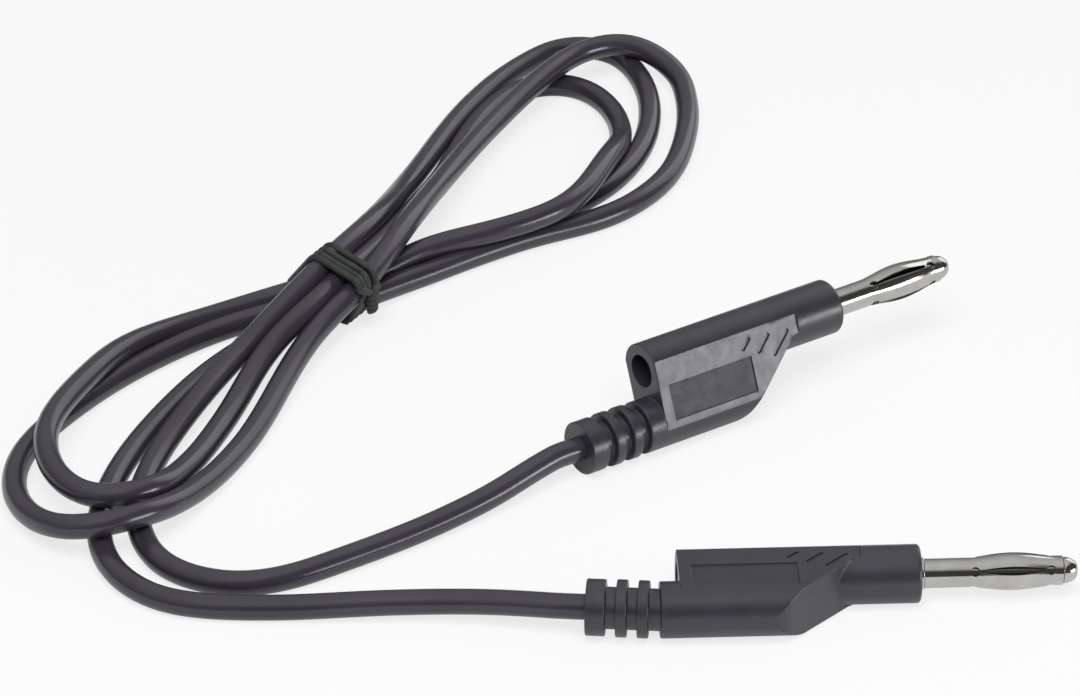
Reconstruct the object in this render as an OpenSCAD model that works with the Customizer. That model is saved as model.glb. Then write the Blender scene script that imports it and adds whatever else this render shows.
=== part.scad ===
// Test lead: two 4 mm stacking plugs on one thin cord, which is folded into a hank and tied.
// Each plug has a sprung pin in front, a socket in the back of its barrel for the next plug,
// and a lobe below the barrel that holds the cord and its ribbed strain relief.
// A plug is drawn with its pin along +X and its lobe below, the nose face at the origin.

/* [Barrel] */
// Diameter of the round barrel on the pin's axis
barrel_d = 7.3; // [7.1:0.1:7.8]
// Length of the barrel from its rear face to its nose face
barrel_length = 30; // [29:0.5:33]
// Length of the fully round nose in front of the flat sides
nose_length = 7.5; // [6.5:0.25:8.5]
// Rounding of the nose's front edge
nose_edge_r = 0.45; // [0.2:0.05:0.8]
// Thickness of the body between its two flat sides
body_width = 6.8; // [6.5:0.1:7]

/* [Cord lobe] */
// Diameter of the lobe that holds the cord's end
lobe_d = 7; // [6.8:0.1:7.2]
// Distance from the pin's axis down to the cord's axis
cord_drop = 6.9; // [6.6:0.1:7.3]
// How far the lobe stands out behind the barrel's rear face
lobe_overhang = 2.5; // [1.5:0.1:3.5]
// Reach of the lobe's straight underside in front of the barrel's rear face
lobe_reach = 10.8; // [9.5:0.1:12]
// Slope of the ramp that joins the lobe to the nose
ramp_angle = 44; // [40:1:50]
// Rounding where the ramp leaves the lobe's underside
ramp_toe_r = 4; // [3:0.25:5]

/* [Strain relief] */
// Number of ribs between the lobe and the end collar
rib_count = 2; // [1:1:4]
// Diameter of the ribs
rib_d = 7.1; // [6:0.1:7.2]
// Width of each rib along the cord
rib_width = 1.35; // [1:0.05:2]
// Diameter at the bottom of the grooves
groove_d = 5.2; // [4.6:0.1:5.6]
// Width of each groove along the cord
groove_width = 1.3; // [0.8:0.1:1.6]
// Diameter of the end collar
collar_d = 7; // [6:0.1:7.2]
// Length of the end collar
collar_length = 2.4; // [2:0.1:4]

/* [Side panel and grip] */
// Depth of the framed panel in each flat side
panel_depth = 0.2; // [0.1:0.05:0.3]
// Distance from the barrel's rear face to the panel
panel_rear = 1.5; // [1:0.1:3]
// Length of the panel along the barrel
panel_length = 13.1; // [11:0.1:14]
// Depth of the panel's upper edge below the pin's axis
panel_top = 2.1; // [1.5:0.1:3]
// Height of the panel
panel_height = 4.7; // [4:0.1:5]
// Least distance from the panel to the ramp
panel_margin = 1; // [0.6:0.1:1.4]
// Number of short grip grooves ahead of the panel
grip_count = 3; // [1:1:3]
// Length of the groove next to the panel
grip_length = 2; // [1.4:0.1:2.4]
// Added length from one grip groove to the next
grip_growth = 1; // [0:0.1:1.2]
// Distance from one grip groove to the next along the barrel
grip_pitch = 2.65; // [2.2:0.05:3]
// Fall from one grip groove to the next
grip_fall = 0.65; // [0.3:0.05:0.9]
// Width of each grip groove
grip_width = 0.5; // [0.3:0.05:0.7]
// Depth of each grip groove
grip_depth = 0.25; // [0.1:0.05:0.35]

/* [Socket] */
// Bore of the rear socket, which takes another lead's pin
socket_bore = 4; // [3.9:0.05:4.1]
// Depth of the rear socket
socket_depth = 18.5; // [17:0.5:20]
// Wall of the socket's brass tube
tube_wall = 0.4; // [0.3:0.05:0.5]
// Distance that the tube stands back from the barrel's rear face
tube_recess = 2.5; // [1.5:0.1:3.5]
// Diameter of the moulded mouth behind the tube
mouth_d = 4.4; // [4.2:0.05:4.7]

/* [Pin] */
// Length of the pin in front of the nose face
pin_length = 19.5; // [18:0.5:21]
// Length of the core's shank pressed into the front of the tube
shank_grip = 4; // [3:0.25:4.5]
// Diameter of the core's shank, less than the socket's bore
shank_d = 3.4; // [3:0.1:3.6]
// Diameter of the core where it passes through the nose
neck_d = 4; // [3.8:0.1:4.2]
// Diameter of the core's retaining flange inside the nose
flange_d = 5.2; // [4.8:0.1:5.6]
// Thickness of the retaining flange
flange_width = 1; // [0.6:0.1:1.5]
// Length of the core's shoulder in front of the nose face
shoulder_length = 0.4; // [0.3:0.1:1]
// Outside diameter of the leaf cage's two end rings
ring_d = 3.5; // [3.4:0.05:3.7]
// Thickness of the cage's sheet metal
leaf_wall = 0.25; // [0.2:0.05:0.3]
// Widest diameter over the bowed leaves
leaf_d = 4.55; // [4.2:0.05:4.8]
// Number of leaves
leaf_count = 4; // [3:1:6]
// Width of the slit between two leaves
slit_width = 0.7; // [0.4:0.05:0.9]
// Length of the bowed leaves
leaf_length = 9.8; // [8:0.1:10.5]
// Width of the cage's front ring
front_ring_width = 1; // [0.8:0.1:1.4]
// Length of the tip cap
tip_length = 1.8; // [1.4:0.1:2.4]
// Diameter of the tip cap's flat front
tip_flat_d = 0.9; // [0.6:0.1:1.4]
// Diameter of the tip cap's rear edge
tip_d = 3.1; // [3.05:0.05:3.3]
// Diameter of the core's tail that is riveted into the tip cap
tail_d = 1.8; // [1.4:0.1:2]
// Gap round the core on which the cage turns
turning_gap = 0.05; // [0.03:0.01:0.08]

/* [Cord and crimp] */
// Outside diameter of the cord
cord_d = 3.2; // [3:0.1:3.3]
// Diameter of the cord's copper strands
wire_d = 1.5; // [1.2:0.1:1.7]
// How far the cord's jacket reaches in front of the barrel's rear face
jacket_reach = 5.5; // [4:0.25:6.5]
// Length of bare wire in front of the jacket
bare_length = 7; // [6.5:0.25:8]
// Wall of the crimp lug's sheet metal
lug_wall = 0.4; // [0.3:0.05:0.45]
// Width of the lug's clip and strap along the plug
lug_width = 3; // [2:0.25:4]
// Length of the crimp barrel
crimp_length = 4; // [3:0.25:5]
// Distance from the barrel's rear face to the middle of the lug
lug_place = 10; // [9.5:0.25:10.5]

/* [Tie] */
// Diameter of the coated wire tie
tie_d = 1; // [0.8:0.1:1.2]
// Number of turns of the tie round the hank
tie_turns = 4; // [1:1:5]
// Length of the twisted end of the tie
tie_tail_length = 3.5; // [2.5:0.5:5]

/* [Hidden] */
$fn = 48;
cut = 0.5;                                   // how far a cutting tool runs past a face

black = "#3b3a40";
brass = "#b59a58";
nickel = "#c9cbd0";
copper = "#b8683a";

grip_inset = 0.4;                            // how far the first groove's middle sits back and down

// Places along the plug, from the nose face at 0 to the cord at the rear
rear = -barrel_length;
flat_end = -nose_length;
lobe_rear = rear - lobe_overhang;
lobe_bottom = cord_drop + lobe_d / 2;
rib_pitch = rib_width + groove_width;
collar_front = lobe_rear - rib_count * rib_pitch - groove_width;
collar_rear = collar_front - collar_length;

tube_rear = rear + tube_recess;
tube_od = socket_bore + 2 * tube_wall;
socket_end = tube_rear + socket_depth;
tube_front = socket_end + shank_grip;
flange_front = tube_front + flange_width;

cage_bore = ring_d - 2 * leaf_wall;
spigot_d = cage_bore - 2 * turning_gap;
end_play = 0.1;                              // free play of the cage along the core
cage_rear = shoulder_length + end_play;
tail_length = tip_length / 2;
cage_front = pin_length - tip_length - end_play;
leaf_front = cage_front - front_ring_width;
leaf_rear = leaf_front - leaf_length;

jacket_front = rear + jacket_reach;
wire_front = jacket_front + bare_length;
lug_middle = rear + lug_place;
clip_od = tube_od + 2 * lug_wall;
crimp_od = wire_d + 2 * lug_wall;

// Places of the two plugs on the table: the nose face's [x, y], the turn of the pin about Z,
// the roll that lays the lobe over, and the lean of the strain relief, which its cord bends.
// The near plug lies on its side, and the far one lies on the round of its lobe.
near_nose = [11.4, -28.4];
near_turn = 0;
near_roll = -90;
near_lean = 7;
near_height = max(barrel_d, lobe_d, rib_d) / 2;
far_nose = [4.9, 27.6];
far_turn = 32;
far_roll = -22;
far_lean = 0;
far_height = max(lobe_d, rib_d) / 2 + cord_drop * cos(far_roll);

// The cord's route from the far plug to the near plug, as [x, y, layer] in round numbers of millimetres.
// Layer 0 lies on the table, and layer 1 lies on a strand of layer 0.
cord_route = [
    // from the far plug, round the left and up through the tie
    [-41, -6, 0.2], [-56, -16.5, 0], [-72, -24, 0], [-81, -20, 0], [-85, -10, 0], [-84, 3, 0],
    [-78, 18, 0.5], [-70, 33, 0.9], [-60, 48.5, 1.7],
    // the middle loop at the right, and back under the tie
    [-54.5, 58, 1.7], [-49, 77, 0.4], [-38.5, 104, 0], [-31, 115, 0], [-25, 120, 0], [-19, 119, 0],
    [-15, 111, 0], [-14, 98, 0], [-17, 85, 0], [-24, 74, 0], [-47, 59.5, 0], [-60, 51, 0.2],
    // the inner loop at the left, over both ends of the cord
    [-75, 43.5, 0], [-87, 32.5, 0.6], [-91.5, 23.5, 1], [-97, 8, 1.1], [-95, -3, 1], [-90, -8, 1],
    [-84, -7, 1.1], [-80, 0, 0.5], [-74, 16, 0.1], [-68.5, 29.5, 0.8], [-62.5, 39, 1.2],
    // the inner loop at the right
    [-52, 58, 1.1], [-44, 81, 0], [-36.5, 101, 0], [-30.5, 108, 0], [-24.5, 108, 0], [-20, 102, 0],
    [-18.5, 91, 0.2], [-21, 80, 1], [-28, 65, 1.1], [-37, 59.5, 1], [-47, 56.5, 0.7], [-59, 48, 0.1],
    // the outer loop at the left, over the same two ends
    [-75, 39.5, 0], [-86.5, 29.5, 0], [-94, 20, 0], [-100, 9, 0], [-101, 0, 0], [-98, -9, 0.3],
    [-92, -15, 1], [-85, -13, 1.1], [-79, -5, 0.4], [-72, 9, 0], [-62.5, 34, 0.7], [-55.5, 44.5, 1.3],
    // the outer loop at the right
    [-49.5, 58, 1.7], [-43.5, 76, 1], [-37, 91, 0.8], [-27, 107, 1.1], [-22, 112.5, 1.1],
    [-16, 114, 1.1], [-10, 111, 0.3], [-8.5, 102, 0], [-9.5, 91, 0], [-13, 79, 0], [-21, 69, 0],
    [-33, 63, 0], [-47, 53.5, 0], [-57, 45.5, 0.2],
    // down the left and along the front to the near plug
    [-66, 40, 0], [-75, 30, 0], [-82, 18, 0], [-88, 3, 0], [-90, -10, 0], [-88, -20, 0],
    [-82, -27, 0], [-75, -29, 0], [-66, -29.5, 0], [-56, -30, 0.2], [-47, -30.5, 0.3], [-40, -32, 0.5]
];
cord_sides = 8;
exit_straight = 4;                           // straight stretch of cord outside each plug

// The tie stands across the hank. Its strands sit at [across, layer] in the tie's own plane.
tie_place = [-58.5, 45.5];
tie_turn = 57;
tie_strands = [[-6.5, 0.2], [1, 0.2], [3.2, 1.4], [-2.9, 1.6]];
tie_pitch = 0.9 * tie_d;                     // the turns press into one another
tail_lean = 155;                             // how far the tie's end leans over from upright
tail_twists = 2;

function layer_height(layer) = cord_d / 2 + layer * cord_d;
function deep(v) = -v;                       // a depth below the pin's axis as a height

// The ramp's straight slope leaves its round toe and runs on into the barrel
function toe_point(a) = [rear + lobe_reach + ramp_toe_r * sin(a),
                         deep(lobe_bottom - ramp_toe_r * (1 - cos(a)))];
ramp_toe = toe_point(ramp_angle);
ramp_top = [ramp_toe[0] - ramp_toe[1] / tan(ramp_angle), 0];

// Outline of the lobe seen from the side, from the pin's axis down
module lobe_outline() {
    steps = 8;
    toe = [for (i = [0:steps]) toe_point(ramp_angle * i / steps)];
    polygon(concat([[rear - cut, 0], [rear - cut, deep(lobe_bottom)]], toe, [ramp_top]));
}

// A round rod along X from x1 to x2 at a depth below the pin's axis
module rod(d, x1, x2, depth = 0) {
    translate([x1, 0, deep(depth)]) rotate([0, 90, 0]) cylinder(d = d, h = x2 - x1);
}

// A revolved outline of [x, radius] points about an axis along X
module turned(points, depth = 0) {
    translate([0, 0, deep(depth)]) rotate([0, 90, 0]) rotate_extrude()
        polygon([for (p = points) [p[1], p[0]]]);
}

// The barrel and the lobe between the two flat sides
module flat_body() {
    intersection() {
        union() {
            rod(barrel_d, rear - cut, 0);
            intersection() {
                rotate([90, 0, 0]) linear_extrude(barrel_d, center = true) lobe_outline();
                union() {
                    rod(lobe_d, rear - 2 * cut, 0, cord_drop);
                    translate([rear - 2 * cut, -lobe_d / 2, deep(cord_drop)])
                        cube([barrel_length, lobe_d, cord_drop + cut]);
                }
            }
        }
        translate([rear, -body_width / 2, deep(lobe_bottom + cut)])
            cube([flat_end - rear, body_width, lobe_bottom + barrel_d]);
    }
}

module nose() {
    r = barrel_d / 2;
    arc = [for (a = [0:15:90]) [nose_edge_r * (sin(a) - 1), r - nose_edge_r * (1 - cos(a))]];
    turned(concat([[flat_end - cut, 0], [flat_end - cut, cage_bore / 2]], [[flat_end, cage_bore / 2],
                  [flat_end, r]], arc, [[0, 0]]));
}

// What stands behind the lobe leans about the middle of the lobe's rear face
module leaning(lean) {
    translate([lobe_rear, 0, deep(cord_drop)]) rotate([0, lean, 0])
        translate([-lobe_rear, 0, cord_drop]) children();
}

// Grooves, ribs and collar, turned about the cord's axis behind the lobe's own end
module strain_relief(lean) {
    function groove_x(i) = lobe_rear - i * rib_pitch;
    steps = [for (i = [0:rib_count - 1]) each [
        [groove_x(i) - groove_width, groove_d / 2], [groove_x(i) - groove_width, rib_d / 2],
        [groove_x(i + 1), rib_d / 2], [groove_x(i + 1), groove_d / 2]]];
    rod(lobe_d, lobe_rear, rear + cut, cord_drop);
    leaning(lean) turned(concat([[lobe_rear + cut, 0], [lobe_rear + cut, groove_d / 2]], steps,
                                [[collar_front, groove_d / 2], [collar_front, collar_d / 2],
                                 [collar_rear, collar_d / 2], [collar_rear, 0]]), cord_drop);
}

// The cord's run inside the plug. Both stretches run past the place where the relief leans.
module cord_run(lean, past) {
    rod(cord_d, lobe_rear - cut, jacket_front, cord_drop);
    leaning(lean) rod(cord_d, collar_rear - past, lobe_rear + cut, cord_drop);
}

// The bare framed panel, kept clear of the ramp
module panel_outline() {
    intersection() {
        translate([rear + panel_rear, deep(panel_top + panel_height)])
            square([panel_length, panel_height]);
        translate([-panel_margin / sin(ramp_angle), 0])
            polygon([ramp_top, ramp_toe, ramp_toe - [barrel_length, 0], [-2 * barrel_length, 0]]);
    }
}

// Short grooves that lean with the ramp, each one longer and lower than the last
module grip_outline() {
    grip_start = [rear + panel_rear + panel_length, 0] - grip_inset * [1, 1];
    for (i = [0:grip_count - 1])
        translate(grip_start + i * [grip_pitch, deep(grip_fall)]) rotate(ramp_angle)
            square([grip_length + i * grip_growth, grip_width], center = true);
}

module both_flats(depth) {
    for (side = [-1, 1])
        translate([0, side * body_width / 2, 0]) rotate([90, 0, 0])
            linear_extrude(2 * depth, center = true) children();
}

module housing(lean) {
    color(black) difference() {
        union() {
            flat_body();
            nose();
            strain_relief(lean);
        }
        both_flats(panel_depth) panel_outline();
        both_flats(grip_depth) grip_outline();
        rod(mouth_d, rear - cut, tube_rear + cut);
        rod(tube_od, tube_rear, tube_front);
        rod(flange_d, tube_front, flange_front);
        rod(neck_d, flange_front, cut);
        lug_solid();
        rod(crimp_od, lug_middle - crimp_length / 2, lug_middle + crimp_length / 2, cord_drop);
        rod(wire_d, jacket_front, wire_front, cord_drop);
        cord_run(lean, cut);
    }
}

module socket_tube() {
    color(brass) difference() {
        rod(tube_od, tube_rear, tube_front);
        rod(socket_bore, tube_rear - cut, socket_end);
        rod(shank_d, socket_end - cut, tube_front + cut);
    }
}

module pin_core() {
    color(nickel) {
        rod(shank_d, socket_end, flange_front);
        rod(flange_d, tube_front, flange_front);
        rod(neck_d, tube_front, shoulder_length);
        rod(spigot_d, tube_front, pin_length - tip_length);
        rod(tail_d, tube_front, pin_length - tip_length + tail_length);
    }
}

// Radius of a leaf's outside at a place along the pin: two end rings and a smooth bow between
function bow(x) = (leaf_d - ring_d) / 2 * (1 - cos(360 * (x - leaf_rear) / leaf_length)) / 2;

module leaf_cage() {
    steps = 14;
    outside = [for (i = [0:steps]) let (x = leaf_rear + leaf_length * i / steps)
        [x, ring_d / 2 + bow(x)]];
    inside = [for (i = [steps:-1:0]) outside[i] - [0, leaf_wall]];
    color(nickel) difference() {
        turned(concat([[cage_rear, cage_bore / 2], [cage_rear, ring_d / 2]], outside,
                      [[cage_front, ring_d / 2], [cage_front, cage_bore / 2]], inside));
        for (i = [0:leaf_count - 1])
            rotate([360 * i / leaf_count, 0, 0])
                translate([leaf_rear, 0, -slit_width / 2])
                    cube([leaf_length, leaf_d, slit_width]);
    }
}

module tip_cap() {
    base = pin_length - tip_length;
    arc = [for (a = [0:15:90])
        [base + tip_length * sin(a), tip_flat_d / 2 + (tip_d - tip_flat_d) / 2 * cos(a)]];
    color(nickel) difference() {
        turned(concat([[base, 0]], arc, [[pin_length, 0]]));
        rod(tail_d, base - cut, base + tail_length);
    }
}

// Clip round the tube, strap and crimp barrel without their bores
module lug_solid() {
    rod(clip_od, lug_middle - lug_width / 2, lug_middle + lug_width / 2);
    translate([lug_middle - lug_width / 2, -lug_wall / 2, deep(cord_drop)])
        cube([lug_width, lug_wall, cord_drop]);
    rod(crimp_od, lug_middle - crimp_length / 2, lug_middle + crimp_length / 2, cord_drop);
}

module crimp_lug() {
    color(brass) difference() {
        lug_solid();
        rod(tube_od, lug_middle - lug_width, lug_middle + lug_width);
        rod(wire_d, lug_middle - crimp_length, lug_middle + crimp_length, cord_drop);
    }
}

module bare_wire() {
    color(copper) rod(wire_d, jacket_front, wire_front, cord_drop);
}

module cord_end(lean) {
    color(black) cord_run(lean, 0);
}

module plug_part(part, lean) {
    if (part == "housing") housing(lean);
    if (part == "socket_tube") socket_tube();
    if (part == "pin_core") pin_core();
    if (part == "leaf_cage") leaf_cage();
    if (part == "tip_cap") tip_cap();
    if (part == "crimp_lug") crimp_lug();
    if (part == "bare_wire") bare_wire();
    if (part == "cord_end") cord_end(lean);
}

module near(part) {
    translate([near_nose[0], near_nose[1], near_height]) rotate([0, 0, near_turn])
        rotate([near_roll, 0, 0]) plug_part(part, near_lean);
}

module far(part) {
    translate([far_nose[0], far_nose[1], far_height]) rotate([0, 0, far_turn])
        rotate([far_roll, 0, 0]) plug_part(part, far_lean);
}

// Directions of a plug that is turned and rolled on the table, and where its cord leaves it
function ahead(turn) = [cos(turn), sin(turn), 0];
function lobe_side(turn, roll) = sin(roll) * [-sin(turn), cos(turn), 0] - [0, 0, cos(roll)];
function into_plug(turn, roll, lean) = cos(lean) * ahead(turn) + sin(lean) * lobe_side(turn, roll);
function cord_exit(nose, height, turn, roll, lean) = [nose[0], nose[1], height]
    + lobe_rear * ahead(turn) + cord_drop * lobe_side(turn, roll)
    + (collar_rear - lobe_rear) * into_plug(turn, roll, lean);

far_exit = cord_exit(far_nose, far_height, far_turn, far_roll, far_lean);
far_into = into_plug(far_turn, far_roll, far_lean);
near_exit = cord_exit(near_nose, near_height, near_turn, near_roll, near_lean);
near_into = into_plug(near_turn, near_roll, near_lean);
cord_points = concat([far_exit, far_exit - exit_straight * far_into],
                     [for (p = cord_route) [p[0], p[1], layer_height(p[2])]],
                     [near_exit - exit_straight * near_into, near_exit]);

// Sweep of a regular polygon along points, with one ring at each point. A ring leans halfway
// between its two stretches, and its first corner points straight up.
function unit(v) = v / norm(v);
function ring_normal(points, i) =
    let (last = len(points) - 1)
    i < 2 ? unit(points[1] - points[0])
    : i > last - 2 ? unit(points[last] - points[last - 1])
    : unit(unit(points[i + 1] - points[i]) + unit(points[i] - points[i - 1]));
function ring(points, i, d, sides) =
    let (n = ring_normal(points, i), side = unit(cross([0, 0, 1], n)), up = cross(n, side))
    [for (k = [0:sides - 1]) points[i] + d / 2 * (cos(360 * k / sides) * up + sin(360 * k / sides) * side)];
module swept_tube(points, d, sides) {
    rings = len(points);
    corners = [for (i = [0:rings - 1]) each ring(points, i, d, sides)];
    walls = [for (i = [0:rings - 2], k = [0:sides - 1])
        let (a = i * sides, b = a + sides, next = (k + 1) % sides)
        [a + k, a + next, b + next, b + k]];
    rear_end = [[for (k = [sides - 1:-1:0]) k]];
    front_end = [[for (k = [0:sides - 1]) (rings - 1) * sides + k]];
    polyhedron(corners, concat(walls, rear_end, front_end));
}

module cord() {
    color(black) swept_tube(cord_points, cord_d, cord_sides);
}

// One turn of the tie hugs the strands, drawn in the plane across the hank
module tie_turn_solid() {
    module hug(extra) {
        hull() for (s = tie_strands)
            translate([s[0], layer_height(s[1])]) circle(d = cord_d + 2 * extra, $fn = 24);
    }
    rotate([90, 0, 0]) linear_extrude(tie_d, center = true) difference() {
        hug(tie_d / 2);
        hug(0);
    }
}

module wire_tie() {
    outer_strand = tie_strands[2];
    tail_start = [outer_strand[0] + cord_d / 2 + tie_d / 4, layer_height(outer_strand[1])];
    color(black) translate([tie_place[0], tie_place[1], 0]) rotate([0, 0, tie_turn - 90]) {
        for (i = [0:tie_turns - 1])
            translate([0, (i - (tie_turns - 1) / 2) * tie_pitch, 0]) tie_turn_solid();
        translate([tail_start[0], 0, tail_start[1]]) rotate([0, tail_lean, 0])
            linear_extrude(tie_tail_length, twist = -360 * tail_twists, slices = 12 * tail_twists)
                for (s = [-1, 1]) translate([0, s * tie_d / 2.5]) circle(d = tie_d, $fn = 10);
    }
}

near("housing");  // near_housing
near("socket_tube");  // near_socket_tube
near("pin_core");  // near_pin_core
near("leaf_cage");  // near_leaf_cage
near("tip_cap");  // near_tip_cap
near("crimp_lug");  // near_crimp_lug
near("bare_wire");  // near_bare_wire
near("cord_end");  // near_cord_end
far("housing");  // far_housing
far("socket_tube");  // far_socket_tube
far("pin_core");  // far_pin_core
far("leaf_cage");  // far_leaf_cage
far("tip_cap");  // far_tip_cap
far("crimp_lug");  // far_crimp_lug
far("bare_wire");  // far_bare_wire
far("cord_end");  // far_cord_end
cord();
wire_tie();
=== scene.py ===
import math
import bpy
import bmesh
from mathutils import Matrix, Vector
from mathutils.geometry import interpolate_bezier


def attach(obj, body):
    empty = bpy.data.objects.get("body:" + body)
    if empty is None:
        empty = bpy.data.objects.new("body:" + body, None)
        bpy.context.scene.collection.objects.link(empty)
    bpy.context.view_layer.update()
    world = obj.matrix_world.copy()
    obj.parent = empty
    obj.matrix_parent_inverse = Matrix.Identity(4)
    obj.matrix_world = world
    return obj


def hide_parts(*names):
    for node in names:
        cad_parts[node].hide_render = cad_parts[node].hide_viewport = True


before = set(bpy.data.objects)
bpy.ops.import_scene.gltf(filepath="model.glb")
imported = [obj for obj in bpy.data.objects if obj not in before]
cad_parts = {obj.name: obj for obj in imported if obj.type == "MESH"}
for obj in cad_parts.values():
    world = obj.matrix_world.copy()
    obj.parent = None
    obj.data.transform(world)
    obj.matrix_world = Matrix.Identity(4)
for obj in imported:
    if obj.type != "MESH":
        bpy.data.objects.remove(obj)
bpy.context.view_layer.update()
mm = 0.001                                    # sizes are in millimetres, as in the CAD source

# The camera stands where the photograph was taken from, 30 degrees above the table.
camera = {
    "place": (-62.1, -621.2, 379.5),
    "tilt": 60.0, "turn": -2.579,             # in degrees
    "lens": 190.5, "sensor": 36.0,
    "sees": (0.01, 20),                       # from and to, in metres
}


def addCamera():
    data = bpy.data.cameras.new("camera")
    data.lens, data.sensor_width, data.sensor_fit = camera["lens"], camera["sensor"], "HORIZONTAL"
    data.clip_start, data.clip_end = camera["sees"]
    obj = bpy.data.objects.new("camera", data)
    obj.location = Vector(camera["place"]) * mm
    obj.rotation_euler = (math.radians(camera["tilt"]), 0, math.radians(camera["turn"]))
    bpy.context.collection.objects.link(obj)
    bpy.context.scene.camera = obj


addCamera()
print("camera is up")


# Helpers for meshes and node trees

def link(obj):
    bpy.context.collection.objects.link(obj)
    return obj


def baked(obj, name):
    # the evaluated shape of an object as a plain mesh, in a new object of its own
    view = bpy.context.evaluated_depsgraph_get()
    mesh = bpy.data.meshes.new_from_object(obj.evaluated_get(view), depsgraph=view)
    mesh.name = name
    bpy.data.objects.remove(obj)
    return link(bpy.data.objects.new(name, mesh))


def hexToLinear(colour):
    def part(text):
        v = int(text, 16) / 255
        return v / 12.92 if v <= 0.04045 else ((v + 0.055) / 1.055) ** 2.4
    return [part(colour[i:i + 2]) for i in (1, 3, 5)] + [1.0]


def addNode(tree, kind, links={}, values={}, **settings):
    # links join other nodes' sockets to this one's inputs, and values fill the rest
    made = tree.nodes.new(kind)
    for key, value in settings.items():
        setattr(made, key, value)
    for key, value in values.items():
        made.inputs[key].default_value = value
    for key, source in links.items():
        tree.links.new(source, made.inputs[key])
    return made


def newMaterial(name):
    material = bpy.data.materials.new(name)
    material.use_nodes = True
    tree = material.node_tree
    tree.nodes.clear()
    return material, tree


def makeFinish(name, look):
    # a finish whose tint and shine vary in soft spots, over layers of fine relief
    material, tree = newMaterial(name)
    place = addNode(tree, "ShaderNodeTexCoord").outputs["Object"]
    spots = {}
    for part, (size, detail) in look["spots"].items():
        spots[part] = addNode(tree, "ShaderNodeTexNoise", {"Vector": place},
                              {"Scale": 1 / (size * mm), "Detail": detail}).outputs["Fac"]
    varied = {}
    for part, (spot, low, high) in {"tint": ("tint", 0, 1), "shine": look["roughness"]}.items():
        # the noise keeps near its middle, so that is stretched to the whole range
        varied[part] = addNode(tree, "ShaderNodeMapRange", {"Value": spots[spot]},
                               {"From Min": 0.3, "From Max": 0.7, "To Min": low,
                                "To Max": high}).outputs["Result"]
    colour = addNode(tree, "ShaderNodeMix", {"Factor": varied["tint"]},
                     {6: hexToLinear(look["dark"]), 7: hexToLinear(look["light"])},
                     data_type="RGBA").outputs[2]
    below = {}
    for spot, height in look["relief"].items():
        bump = addNode(tree, "ShaderNodeBump", {"Height": spots[spot], **below},
                       {"Distance": height * mm, "Strength": 1.0})
        below = {"Normal": bump.outputs["Normal"]}
    shader = addNode(tree, "ShaderNodeBsdfPrincipled",
                     {"Base Color": colour, "Roughness": varied["shine"], **below}, look["shader"])
    addNode(tree, "ShaderNodeOutputMaterial", {"Surface": shader.outputs["BSDF"]})
    return material


# In each finish, spots gives the size of its patterns in millimetres and their detail, relief
# their heights in millimetres, and roughness the pattern that the shine follows and its range.

# Black flexible PVC, injection moulded in a spark-eroded tool. Its satin skin breaks up highlights
# and looks slightly purple in strong light. The real grain is about 0.05 mm, and it is drawn four
# times as coarse, so that it shows.
mouldedPvc = {
    "dark": "#25242a", "light": "#2b2a31",
    "spots": {"tint": (6.0, 3.0), "flow": (2.5, 1.0), "grain": (0.22, 2.0), "gloss": (1.3, 3.0)},
    "relief": {"flow": 0.012, "grain": 0.006},
    "roughness": ("gloss", 0.3, 0.38),
    "shader": {"IOR": 1.58},
}

# The same PVC on the bare panels of the flat sides, where the tool is etched deeper, so they are
# duller and look darker in the light.
etchedPvc = {
    **mouldedPvc,
    "spots": {**mouldedPvc["spots"], "grain": (0.16, 2.0)},
    "relief": {"flow": 0.012, "grain": 0.014},
    "roughness": ("gloss", 0.5, 0.6),
}

# Extruded soft PVC jacket. It comes smooth from the die, so it shines more than the plugs, and its
# surface rises and falls slightly over the stranded copper inside.
extrudedPvc = {
    "dark": "#28252b", "light": "#322e38",
    "spots": {"tint": (14.0, 3.0), "flow": (6.0, 1.0), "grain": (0.35, 2.0), "gloss": (1.3, 3.0)},
    "relief": {"flow": 0.035, "grain": 0.002},
    "roughness": ("gloss", 0.2, 0.26),
    "shader": {"IOR": 1.56},
}

# Thin polyethylene coat of a wire tie, matt, dark and a little greener than the PVC.
coatedWire = {
    "dark": "#1e2120", "light": "#2e3130",
    "spots": {"tint": (3.0, 3.0), "flow": (1.2, 1.0), "grain": (0.2, 2.0), "gloss": (1.3, 3.0)},
    "relief": {"flow": 0.03, "grain": 0.008},
    "roughness": ("gloss", 0.42, 0.55),
    "shader": {"IOR": 1.5},
}

# Bright nickel plate over brass: white, slightly warm and mirror-like, with a faint haze from
# tumbling and handling.
brightNickel = {
    "dark": "#b3b1ae", "light": "#c2c0bc",
    "spots": {"tint": (2.5, 3.0), "haze": (0.4, 2.0)},
    "relief": {"haze": 0.0008},
    "roughness": ("haze", 0.08, 0.16),
    "shader": {"Metallic": 1.0},
}

# Turned and stamped brass, left bare: yellow, with fine tool marks that dull its shine.
bareBrass = {
    "dark": "#a98442", "light": "#c9a862",
    "spots": {"tint": (2.0, 3.0), "marks": (0.25, 2.0)},
    "relief": {"marks": 0.003},
    "roughness": ("marks", 0.22, 0.4),
    "shader": {"Metallic": 1.0},
}

# Bare copper strands, reddish and slightly tarnished, uneven from strand to strand.
bareCopper = {
    "dark": "#9c5a33", "light": "#c98257",
    "spots": {"tint": (0.8, 3.0), "strands": (0.2, 2.0)},
    "relief": {"strands": 0.02},
    "roughness": ("strands", 0.3, 0.5),
    "shader": {"Metallic": 1.0},
}

plugPvc = makeFinish("moulded_pvc", mouldedPvc)
panelPvc = makeFinish("etched_pvc", etchedPvc)
cordPvc = makeFinish("extruded_pvc_jacket", extrudedPvc)
tieCoat = makeFinish("polyethylene_coat", coatedWire)
nickel = makeFinish("bright_nickel", brightNickel)
brass = makeFinish("bare_brass", bareBrass)
copper = makeFinish("bare_copper", bareCopper)
print("materials are made")


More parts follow.
